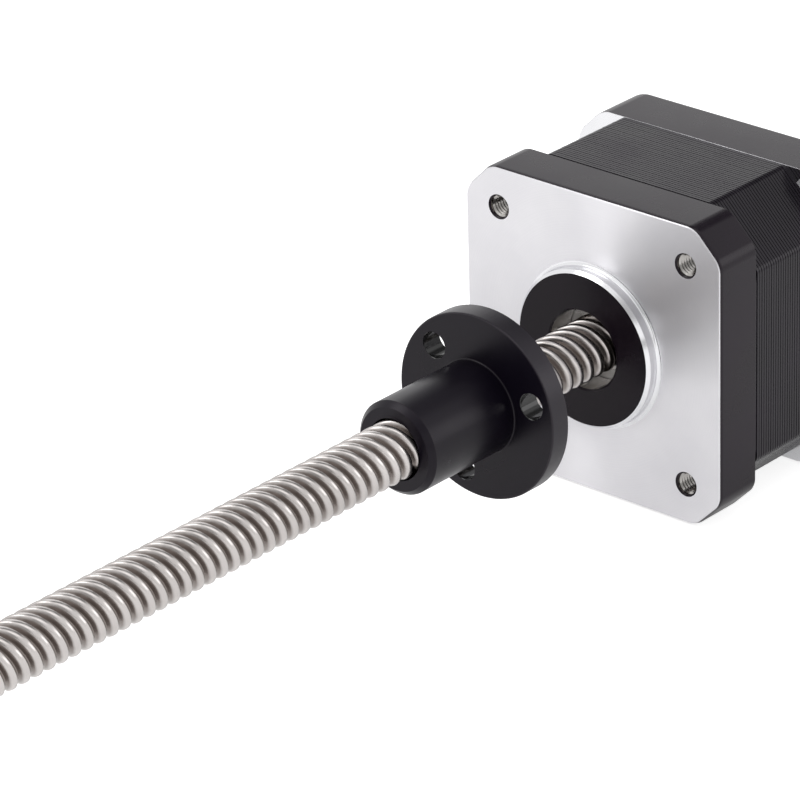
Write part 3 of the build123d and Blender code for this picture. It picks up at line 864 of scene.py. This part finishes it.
@dataclass
class FrontCover(Cover):
    """Cover with the machined mounting face, the pilot boss and four tapped holes."""

    pilot_radius: float = 11.0
    pilot_edge: float = 0.43
    foot_radius: float = 0.6
    bore_radius: float = 5.5
    wall: float = 2.9
    bearing_front: float = 2.2
    tap_depth: float = 4.6
    tap_radius: float = 1.5
    tap_crest: float = 1.24
    tap_pitch: float = 0.5
    tap_root: float = 1.53
    tap_flank: float = 0.21
    tap_steps: int = 28
    tap_mouth: float = 1.74
    tie_radius: float = 1.51
    node: Node = cad_node("front_cover")

    def boss(self) -> Piece:
        """The round pilot with its broken edge and blended foot."""
        top = self.node.low.y
        radius, edge, foot = self.pilot_radius, self.pilot_edge, self.foot_radius
        outline = [(0, OVERCUT), (0, top), (radius - edge, top), (radius, top + edge), (radius, -foot)]
        outline += arc((radius + foot, -foot), foot, 180, 90, 8)[1:]
        outline += [(radius + foot, OVERCUT)]
        return turned("boss", outline, steps=144)

    def body(self) -> Piece:
        """The cover with its boss, bore, pocket, cavity and holes."""
        mouth, back = self.node.low.y, self.node.high.y
        piece = self.shell("front_cover_body", self.node, 0, back, 0)
        combine(piece, self.boss(), "UNION")
        before, past = mouth - OVERCUT, back + OVERCUT
        bore, edge, pocket = self.bore_radius, self.bore_edge, self.pocket_radius
        outline = [
            (0, before), (bore + edge, before), (bore + edge, mouth), (bore, mouth + edge),
            (bore, self.bearing_front), (pocket, self.bearing_front), (pocket, past), (0, past),
        ]
        self.hollow(piece, outline, self.wall, past)
        tap, tie, depth = self.tap_radius, self.tie_radius, self.tap_depth
        tapped = [
            (0, -OVERCUT), (self.tap_mouth, -OVERCUT), (self.tap_mouth, 0), (tap, self.tap_mouth - tap),
            (tap, depth), (tie, depth), (tie, past), (0, past),
        ]
        drill(piece, tapped, square_places())
        return piece

    def thread(self) -> Piece:
        """Helical ridge of one tapped hole, a small triangle swept round the wall."""
        turns = round((self.tap_depth - self.tap_pitch) / self.tap_pitch)
        put_down()
        bpy.ops.mesh.primitive_circle_add(vertices=3, radius=MM, fill_type="NOTHING")
        piece = bpy.context.active_object
        piece.name = "tap_thread"
        corners = [(self.tap_root, -self.tap_flank), (self.tap_crest, 0), (self.tap_root, self.tap_flank)]
        for vertex, (radius, station) in zip(piece.data.vertices, corners):
            vertex.co = Vector((radius, station + self.tap_pitch, 0)) * MM
        twist(piece, FULL_TURN, self.tap_pitch, self.tap_steps, turns)
        cap_ends(piece)
        return piece

    def build(self, palette: Palette) -> None:
        """Make the cover and its threads and dress them.

        Args:
            palette: The materials.
        """
        piece = self.body()
        smooth(piece)
        palette.coat(piece, PAINT, FACE, BRIGHT, SHADED_BORE, SHADED_BOSS_PAINT)
        top = self.node.low.y
        bare = self.rim_steps[1][0]
        palette.mark(piece, FACE, lambda at, way: way.y < -self.bare_slope and -TOUCH < at.y < bare)
        inner, outer = self.bore_radius + self.bore_edge, self.pilot_radius + self.foot_radius + MARGIN
        palette.mark(piece, BRIGHT, lambda at, way: inner < reach(at) < outer and top + TOUCH < at.y < 0)
        wall, below = self.pocket_radius + MARGIN, top + self.bore_edge + MARGIN
        # Bore and pocket walls take the darkened metal: painted shade
        palette.mark(piece, SHADED_BORE, lambda at, way: reach(at) < wall and at.y > below)
        # The boss's end face takes the darker copy of the paint: painted shade
        palette.mark(piece, SHADED_BOSS_PAINT, lambda at, way: way.y < -ALONG and at.y < top + TOUCH)
        lip = self.tap_mouth - self.tap_radius
        # The tapped holes' walls take the same darkened metal: painted shade
        palette.mark(piece, SHADED_BORE, lambda at, way: at.y > lip and near(at, square_places(), self.tap_mouth))
        fix(piece, Body.MOTOR, "cover_cast", "front_cover")
        ridge = self.thread()
        smooth(ridge, degrees=20)
        # The ridges take the darkened metal: painted shade inside the holes
        palette.coat(ridge, SHADED_TAPPED)
        for number, place in enumerate(square_places(), 1):
            fix(copy_of(ridge, f"tapped_thread_{number}", moved(place)), Body.MOTOR, "cover_cast")
        discard(ridge)


@dataclass
class RearCover(Cover):
    """Cover with the rear bearing's pocket, the screw seats and the socket's window."""

    corner_radius: float = 3.2
    bore_radius: float = 3.5
    bore_edge: float = 0.3
    pocket_back: float = 29.6
    cavity_back: float = 28.6
    seat_radius: float = 3.1
    seat_depth: float = 2.5
    seat_edge: float = 0.15
    hole_radius: float = 1.6
    window_clearance: float = 0.2
    node: Node = cad_node("rear_cover")
    housing: Node = cad_node("connector_housing")
    pins: Node = cad_node("connector_pins")

    def body(self) -> Piece:
        """The cover with its bore, pocket, cavity, screw seats and window."""
        front, back = self.node.low.y, self.node.high.y
        piece = self.shell("rear_cover_body", self.node, front, back, back)
        before, past = front - OVERCUT, back + OVERCUT
        bore, edge, pocket = self.bore_radius, self.bore_edge, self.pocket_radius
        outline = [
            (0, before), (pocket, before), (pocket, self.pocket_back), (bore, self.pocket_back),
            (bore, back - edge), (bore + edge, back), (bore + edge, past), (0, past),
        ]
        self.hollow(piece, outline, before, self.cavity_back)
        floor, seat, edge = back - self.seat_depth, self.seat_radius, self.seat_edge
        hole = [
            (0, before), (self.hole_radius, before), (self.hole_radius, floor), (seat, floor),
            (seat, back - edge), (seat + edge, back), (seat + edge, past), (0, past),
        ]
        drill(piece, hole, square_places())
        gap = Vector((self.window_clearance,) * 3)
        low = self.housing.low - gap
        high = self.housing.high + gap
        high.x = self.pins.high.x + self.window_clearance
        combine(piece, block("window", low, high), "DIFFERENCE")
        return piece

    def build(self, palette: Palette) -> None:
        """Make the cover and dress it.

        Args:
            palette: The materials.
        """
        piece = self.body()
        smooth(piece)
        palette.coat(piece, PAINT, FACE, BRIGHT)
        rim = self.node.low.y + self.inner_break
        palette.mark(piece, FACE, lambda at, way: way.y < -self.bare_slope and at.y < rim)
        wall, floor = self.pocket_radius + MARGIN, self.pocket_back + MARGIN
        palette.mark(piece, BRIGHT, lambda at, way: reach(at) < wall and at.y < floor)
        fix(piece, Body.MOTOR, "cover_cast", "rear_cover")


# Stator


@dataclass
class StatorStack:
    """The visible outside of the laminated stack, one step for each lamination."""

    lamination: float = 0.5
    groove: float = 0.12
    groove_depth: float = 0.13
    joint_depth: float = 0.45
    stand_proud: float = 0.09
    scatter: float = 0.008
    corner_cut: float = 7.5
    corner_radius: float = 1.2
    inner_radius: float = 19.0
    blank: float = 0.01
    node: Node = cad_node("stator_stack")

    def offset(self, number: int) -> float:
        """How far a lamination stands out: a scatter that looks irregular and is the same each run."""
        return self.scatter * math.sin(number * 2.4) * math.cos(number * 5.7 + 1.0)

    def build(self, palette: Palette) -> None:
        """Make the stack's skin by extruding one lamination after another.

        Args:
            palette: The materials.
        """
        front, back = self.node.low.y, self.node.high.y
        half = self.node.width / 2 + self.stand_proud
        station = front + self.blank
        piece = block("stator_laminations", Vector((-half, front, -half)), Vector((half, station, half)))
        with editing(piece):
            cut_corners(piece, self.corner_cut, self.corner_radius, segments=10)
            choose_faces(piece, lambda at, way: way.y > ALONG)
            count = round((back - front) / self.lamination)
            size = half
            for number in range(count):
                end = front + (number + 1) * self.lamination
                full = half + self.offset(number)
                deep = full - self.groove_depth
                steps = [(full, station), (full, end - self.groove), (deep, end - self.groove), (deep, end)]
                if number == 0:
                    steps = [(half - self.joint_depth, station), (half - self.joint_depth, end)]
                if number + 1 == count:
                    steps = [(full, station), (full, back)]
                for goal, stop in steps:
                    extrude_to(stop, station, goal / size)
                    size, station = goal, stop
        before, past = front - OVERCUT, back + OVERCUT
        bore = [(0, before), (self.inner_radius, before), (self.inner_radius, past), (0, past)]
        combine(piece, turned("bore", bore), "DIFFERENCE")
        smooth(piece, degrees=24)
        palette.coat(piece, STACK_PAINT)
        fix(piece, Body.MOTOR, "lamination_steel")


# Lead screw


@dataclass
class ThreadForm:
    """The screw's thread: four right-hand starts with rounded crests and roots."""

    radius: float = 3.97
    depth: float = 0.82
    pitch: float = 25.4 / 12
    starts: int = 4
    crest_share: float = 0.17
    root_share: float = 0.44
    crown: float = 0.05
    crest_station: float = -1.536
    crest_angle: float = 35.5

    @property
    def lead(self) -> float:
        """Travel for each turn."""
        return self.pitch * self.starts

    def height(self, share: float) -> float:
        """Radius at a share of the pitch away from a crest's middle.

        Args:
            share: Distance along the axis from the crest, in pitches.

        Returns:
            The radius in millimetres.
        """
        away = abs(share - round(share))
        if away <= self.crest_share:
            return self.radius - self.crown * (away / self.crest_share) ** 2
        top = self.radius - self.crown
        slope = min(1.0, (away - self.crest_share) / (self.root_share - self.crest_share))
        ease = slope * slope * (3 - 2 * slope)
        return top - (self.depth - self.crown) * ease

    def at(self, angle: float, station: float) -> float:
        """Radius of the thread at an angle in radians from +X towards +Z and a station."""
        turned_by = (angle - math.radians(self.crest_angle)) / FULL_TURN
        return self.height((station - self.crest_station + self.lead * turned_by) / self.pitch)

    def sweep(self, name: str, front: float, back: float, sides: int, rings: int) -> Piece:
        """Twist the thread's cross-section along the axis.

        Args:
            name: The piece's name.
            front: First station.
            back: Last station.
            sides: Corners of the cross-section.
            rings: Steps in one turn of the thread.

        Returns:
            An open tube.
        """
        put_down()
        upright = (math.pi / 2, 0, 0)
        bpy.ops.mesh.primitive_circle_add(vertices=sides, radius=self.radius * MM, rotation=upright)
        piece = bpy.context.active_object
        piece.name = name
        bpy.ops.object.transform_apply()
        for vertex in piece.data.vertices:
            angle = math.atan2(vertex.co.z, vertex.co.x)
            radius = self.at(angle, front)
            vertex.co = Vector((radius * math.cos(angle), front, radius * math.sin(angle))) * MM
        turns = (back - front) / self.lead
        twist(piece, FULL_TURN * turns, back - front, max(2, round(turns * rings)))
        return piece


@dataclass
class LeadScrew:
    """Threaded screw with a turned shaft at its inner end."""

    shaft_radius: float = 2.5
    end_break: float = 1.0
    shaft_break: float = 0.4
    shoulder: float = 2.2
    overlap: float = 0.5
    sides: int = 72
    rings: int = 54
    form: ThreadForm = field(default_factory=ThreadForm)
    node: Node = cad_node("lead_screw")

    def break_end(self, piece: Piece) -> None:
        """Turn the free end down to a cone.

        Args:
            piece: The threaded tube.
        """
        tip = self.node.low.y
        cone = self.form.radius - self.end_break
        for vertex in piece.data.vertices:
            at = vertex.co / MM
            radius = reach(at)
            limit = cone + at.y - tip
            if radius > limit:
                vertex.co = Vector((at.x * limit / radius, at.y, at.z * limit / radius)) * MM

    def build(self, palette: Palette) -> None:
        """Make the thread and the shaft and dress them.

        Args:
            palette: The materials.
        """
        tip, end = self.node.low.y, self.node.high.y
        thread = self.form.sweep("screw_thread", tip, self.shoulder, self.sides, self.rings)
        self.break_end(thread)
        cap_ends(thread)
        smooth(thread, degrees=40)
        palette.coat(thread, SCREW_STEEL)
        fix(thread, Body.SCREW, "screw_steel", "lead_screw")
        radius, cut, start = self.shaft_radius, self.shaft_break, self.shoulder - self.overlap
        outline = [(0, start), (radius, start), (radius, end - cut), (radius - cut, end), (0, end)]
        shaft = turned("motor_shaft", outline, steps=64)
        smooth(shaft)
        palette.coat(shaft, SHAFT_STEEL)
        fix(shaft, Body.SCREW, "screw_steel", "lead_screw")


# Lead nut


@dataclass
class LeadNut:
    """Flanged nut with a turned barrel, a plain bore and three holes."""

    flange_thickness: float = 3.175
    barrel_radius: float = 6.35
    end_break: float = 0.7
    end_round: float = 0.1
    end_inset: float = 0.12
    edge_break: float = 0.22
    edge_round: float = 0.06
    root_fillet: float = 0.2
    bore_radius: float = 4.2
    hole_circle: float = 9.525
    hole_radius: float = 1.8
    hole_break: float = 0.06
    hole_angle: float = 16.0
    hole_count: int = 3
    node: Node = cad_node("lead_nut")

    def hole_places(self) -> list[Point]:
        """Axes of the flange's holes, as (x, z)."""
        first, circle = math.radians(self.hole_angle), self.hole_circle
        angles = [first + FULL_TURN * number / self.hole_count for number in range(self.hole_count)]
        return [(circle * math.cos(angle), circle * math.sin(angle)) for angle in angles]

    def blank(self) -> Piece:
        """The turned nut before its holes are drilled."""
        front, back = self.node.low.y, self.node.high.y
        face = back - self.flange_thickness
        flange, barrel, fillet = self.node.width / 2, self.barrel_radius, self.root_fillet
        end, edge, bend = front + self.end_break, self.edge_break, self.edge_round
        outline = [
            (self.bore_radius, front), (barrel - self.end_break, front),
            (barrel - self.end_inset, end - self.end_round), (barrel, end + self.end_round),
            *arc((barrel + fillet, face - fillet), fillet, 180, 90, 4),
            (flange - edge, face), (flange - bend, face + bend), (flange, face + edge),
            (flange, back - edge), (flange - edge, back), (self.bore_radius, back),
        ]
        return turned("lead_nut_body", outline, steps=144)

    def build(self, palette: Palette) -> None:
        """Make the nut and dress it.

        Args:
            palette: The materials.
        """
        piece = self.blank()
        back = self.node.high.y
        face, past = back - self.flange_thickness, back + OVERCUT
        radius, cut = self.hole_radius, self.hole_break
        wide, start = radius + cut, face - OVERCUT
        hole = [
            (0, start), (wide, start), (wide, face), (radius, face + cut),
            (radius, back - cut), (wide, back), (wide, past), (0, past),
        ]
        places = self.hole_places()
        drill(piece, hole, places)
        smooth(piece)
        palette.coat(piece, NUT_PLASTIC, NUT_HOLE, LIT_NUT_RIM)
        wall = radius + MARGIN
        palette.mark(piece, NUT_HOLE, lambda at, way: abs(way.y) < ALONG and near(at, places, wall))
        # The flange rim takes the lighter, more reflective copy: painted highlight
        rim = self.node.width / 2 - self.edge_break
        palette.mark(piece, LIT_NUT_RIM, lambda at, way: reach(at) > rim)
        fix(piece, Body.NUT, "nut_plastic", "lead_nut")


# Fasteners and socket


@dataclass
class TieScrews:
    """Four long pan-head screws with cross recesses."""

    head_radius: float = 2.8
    head_height: float = 2.2
    head_break: float = 0.7
    shank_radius: float = 1.35
    thread_radius: float = 1.5
    thread_back: float = 7.4
    tip_break: float = 0.3
    recess_width: float = 0.8
    recess_length: float = 3.08
    recess_depth: float = 1.2
    recess_taper: float = 0.6
    node: Node = cad_node("tie_screws")

    def screw(self) -> Piece:
        """One screw on the axis."""
        tip, top = self.node.low.y, self.node.high.y
        seat, head, rounding = top - self.head_height, self.head_radius, self.head_break
        dome = arc((head - rounding, top - rounding), rounding, 0, 90, 5)
        thread, shank, cut, back = self.thread_radius, self.shank_radius, self.tip_break, self.thread_back
        outline = [
            (0, tip), (thread - cut, tip), (thread, tip + cut), (thread, back), (shank, back), (shank, seat),
            (head, seat), *dome, (0, top),
        ]
        piece = turned("tie_screw", outline, steps=64)
        half, long, taper = self.recess_width / 2, self.recess_length / 2, self.recess_taper
        floor = top - self.recess_depth
        for across, along in ((half, long), (long, half)):
            low, high = Vector((-across, floor, -along)), Vector((across, top + OVERCUT / 2, along))
            slot = block("slot", low, high)
            with editing(slot):
                choose_faces(slot, lambda at, way: way.y < -ALONG)
                bpy.ops.transform.resize(value=(taper, 1, taper), center_override=(0, floor * MM, 0))
            combine(piece, slot, "DIFFERENCE")
        return piece

    def build(self, palette: Palette) -> None:
        """Make the four screws and dress them.

        Args:
            palette: The materials.
        """
        first = self.screw()
        smooth(first)
        palette.coat(first, SCREW_BLACK)
        for number, place in enumerate(square_places(), 1):
            twin = copy_of(first, f"tie_screw_{number}", moved(place))
            fix(twin, Body.MOTOR, "fastener_steel", "tie_screws")
        discard(first)


@dataclass
class Socket:
    """Moulded socket in the side of the rear cover."""

    wall: float = 0.6
    mouth_depth: float = 4.6
    edge_break: float = 0.12
    key_width: float = 1.6
    key_depth: float = 1.6
    key_sink: float = 0.3
    node: Node = cad_node("connector_housing")

    def build(self, palette: Palette) -> None:
        """Make the housing and dress it.

        Args:
            palette: The materials.
        """
        piece = block("socket_housing", self.node.low, self.node.high)
        with editing(piece):
            choose_faces(piece, lambda at, way: way.x < -ALONG)
            bpy.ops.mesh.inset(thickness=self.wall * MM)
            bpy.ops.mesh.extrude_region_move(TRANSFORM_OT_translate={"value": (self.mouth_depth * MM, 0, 0)})
            outer = self.node.low.x
            choose_edges(piece, lambda middle, way: abs(way.x) > ALONG)
            bpy.ops.mesh.bevel(offset=self.edge_break * MM, segments=2, affect="EDGES")
            choose_edges(piece, lambda middle, way: abs(way.x) < ACROSS and abs(middle.x - outer) < TOUCH)
            bpy.ops.mesh.bevel(offset=self.edge_break / 2 * MM, segments=1, affect="EDGES")
        side, back, half = self.node.high.z, self.node.high.y, self.key_width / 2
        for across in (-side / 2, side / 2):
            low = Vector((outer - OVERCUT / 2, back - self.wall - self.key_sink, across - half))
            high = Vector((outer + self.key_depth, back + OVERCUT / 2, across + half))
            combine(piece, block("key", low, high), "DIFFERENCE")
        smooth(piece)
        palette.coat(piece, SOCKET)
        fix(piece, Body.MOTOR, "socket_plastic", "connector_housing")


@dataclass
class InnerWorks:
    """The CAD nodes that keep their own shape and get a finish."""

    finishes: dict[str, Finish] = field(default_factory=lambda: dict(NODE_FINISHES))
    places: tuple[str, ...] = ("front_", "rear_", "outer_", "inner_")

    def build(self, palette: Palette) -> None:
        """Dress each node by the part of its name that names its finish.

        Args:
            palette: The materials.
        """
        for name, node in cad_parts.items():
            kind = name
            for place in self.places:
                kind = kind.replace(place, "")
            for key, finish in self.finishes.items():
                if kind.startswith(key):
                    for slot in node.material_slots:
                        slot.material = palette[finish]
                    LOG.info("%s: %s", name, finish.name)


# Studio


@dataclass(frozen=True)
class DimPart:
    """A part of the surroundings that is dim in reflections."""

    toward: Point3
    inner: float
    outer: float
    strength: float


@dataclass(frozen=True)
class Lamp:
    """A square area lamp: its place in metres, its side in metres and its power in watts."""

    name: str
    place: Point3
    size: float
    power: float


@dataclass
class Studio:
    """Camera, lamps, floor and surroundings."""

    azimuth: float = 41.690
    elevation: float = 25.528
    roll: float = -1.645
    distance: float = 680.65
    aim_x: float = -25.197
    aim_z: float = -6.434
    focal_pixels: float = 5227.8
    picture_pixels: float = 800.0
    sensor: float = 36.0
    floor_size: float = 6.0
    floor_gap: float = 0.0002
    table_colour: Colour = (0.8, 0.8, 0.8)
    table_glow: float = 0.80
    table_mirror: float = 0.40
    world_light: float = 0.68
    dim_parts: tuple[DimPart, ...] = (
        DimPart((0.60, -0.70, 0.38), 0.95, 0.75, 0.5),
        DimPart((-0.22, 0.66, 0.71), 0.96, 0.84, 0.20),
    )
    lamps: tuple[Lamp, ...] = (
        Lamp("key", (-0.5, -0.5, 0.9), 0.5, 1.9),
        Lamp("fill", (0.9, -0.7, 0.4), 0.5, 0.5),
        Lamp("top", (0.1, 0.3, 1.1), 0.8, 1.4),
        Lamp("back", (-0.6, 0.67, 0.45), 0.6, 0.6),
        Lamp("side", (0.74, 0.74, 0.31), 0.46, 0.8),
    )

    def camera(self) -> None:
        """Put the camera where the photograph was taken."""
        turn, rise, lean = (math.radians(value) for value in (self.azimuth, self.elevation, self.roll))
        back = Vector((math.sin(turn) * math.cos(rise), -math.cos(turn) * math.cos(rise), math.sin(rise)))
        right = Vector((math.cos(turn), math.sin(turn), 0))
        up = back.cross(right)
        across = math.cos(lean) * right + math.sin(lean) * up
        upright = -math.sin(lean) * right + math.cos(lean) * up
        data = bpy.data.cameras.new("camera")
        data.sensor_fit = "HORIZONTAL"
        data.sensor_width = self.sensor
        data.lens = self.focal_pixels / self.picture_pixels * self.sensor
        data.clip_start = 0.01
        data.clip_end = 50.0
        camera = bpy.data.objects.new("camera", data)
        bpy.context.scene.collection.objects.link(camera)
        turned_frame = Matrix((across, upright, back)).transposed().to_4x4()
        target = right * self.aim_x + up * self.aim_z
        camera.matrix_world = Matrix.Translation((target + back * self.distance) * MM) @ turned_frame
        bpy.context.scene.camera = camera

    def hang(self, lamp: Lamp) -> None:
        """Hang a lamp so that it faces the motor.

        Args:
            lamp: The lamp.
        """
        data = bpy.data.lights.new(lamp.name, "AREA")
        data.size = lamp.size
        data.energy = lamp.power
        light = bpy.data.objects.new(lamp.name, data)
        bpy.context.scene.collection.objects.link(light)
        light.location = lamp.place
        light.rotation_euler = (-Vector(lamp.place)).to_track_quat("-Z", "Y").to_euler()

    def floor(self) -> None:
        """White table that the motor stands on."""
        put_down()
        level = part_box("front_cover")[0].z - self.floor_gap
        bpy.ops.mesh.primitive_plane_add(size=self.floor_size, location=(0, 0, level))
        table = bpy.context.active_object
        table.name = "table"
        bpy.ops.object.transform_apply()
        material = bpy.data.materials.new("white_table")
        material.use_nodes = True
        material.node_tree.nodes.clear()
        graph = Graph(material.node_tree)
        matt = graph.add("ShaderNodeBsdfDiffuse", {"Color": self.table_colour})
        path = graph.add("ShaderNodeLightPath")
        plain = graph.math("MULTIPLY", path.outputs["Is Camera Ray"], self.table_glow)
        mirrored = graph.math("MULTIPLY", path.outputs["Is Glossy Ray"], self.table_mirror)
        glow = graph.add("ShaderNodeEmission", {"Strength": graph.math("MAXIMUM", plain, mirrored)})
        both = graph.add("ShaderNodeAddShader", {0: matt.outputs[0], 1: glow.outputs[0]})
        graph.add("ShaderNodeOutputMaterial", {0: both.outputs[0]})
        table.data.materials.append(material)

    def surroundings(self) -> None:
        """White background that lights the motor more gently than it looks."""
        world = bpy.data.worlds.new("surroundings")
        bpy.context.scene.world = world
        world.use_nodes = True
        world.node_tree.nodes.clear()
        graph = Graph(world.node_tree)
        path = graph.add("ShaderNodeLightPath")
        seen = graph.math("MAXIMUM", path.outputs["Is Camera Ray"], path.outputs["Is Transmission Ray"])
        mirrored = path.outputs["Is Glossy Ray"]
        for part in self.dim_parts:
            inputs = {
                0: graph.add("ShaderNodeTexCoord").outputs["Generated"],
                1: Vector(part.toward).normalized(),
            }
            toward = graph.add("ShaderNodeVectorMath", inputs, operation="DOT_PRODUCT").outputs["Value"]
            room = graph.span(toward, part.outer, part.inner, 1.0, part.strength, kind="SMOOTHSTEP")
            mirrored = graph.math("MULTIPLY", mirrored, room)
        seen = graph.math("MAXIMUM", seen, mirrored)
        plain = graph.math("SUBTRACT", 1.0, path.outputs["Is Glossy Ray"])
        light = graph.math("MULTIPLY", plain, self.world_light)
        soft = graph.math("MULTIPLY", light, graph.math("SUBTRACT", 1.0, seen))
        strength = graph.math("ADD", seen, soft)
        sky = graph.add("ShaderNodeBackground", {"Color": (1.0, 1.0, 1.0), "Strength": strength})
        graph.add("ShaderNodeOutputWorld", {0: sky.outputs[0]})

    def build(self) -> None:
        """Set up the whole studio."""
        self.camera()
        self.surroundings()
        self.floor()
        for lamp in self.lamps:
            self.hang(lamp)
        bpy.context.scene.view_settings.view_transform = "Standard"


def main() -> None:
    """Build the object piece by piece, then the studio."""
    logging.basicConfig(level=logging.INFO, format="%(name)s: %(message)s")
    palette = Palette()
    assemblies = (
        FrontCover(), StatorStack(), RearCover(), LeadScrew(),
        LeadNut(), TieScrews(), Socket(), InnerWorks(),
    )
    for assembly in assemblies:
        LOG.info("building %s", type(assembly).__name__)
        assembly.build(palette)
    Studio().build()
    put_down()


if __name__ == "__main__":
    main()
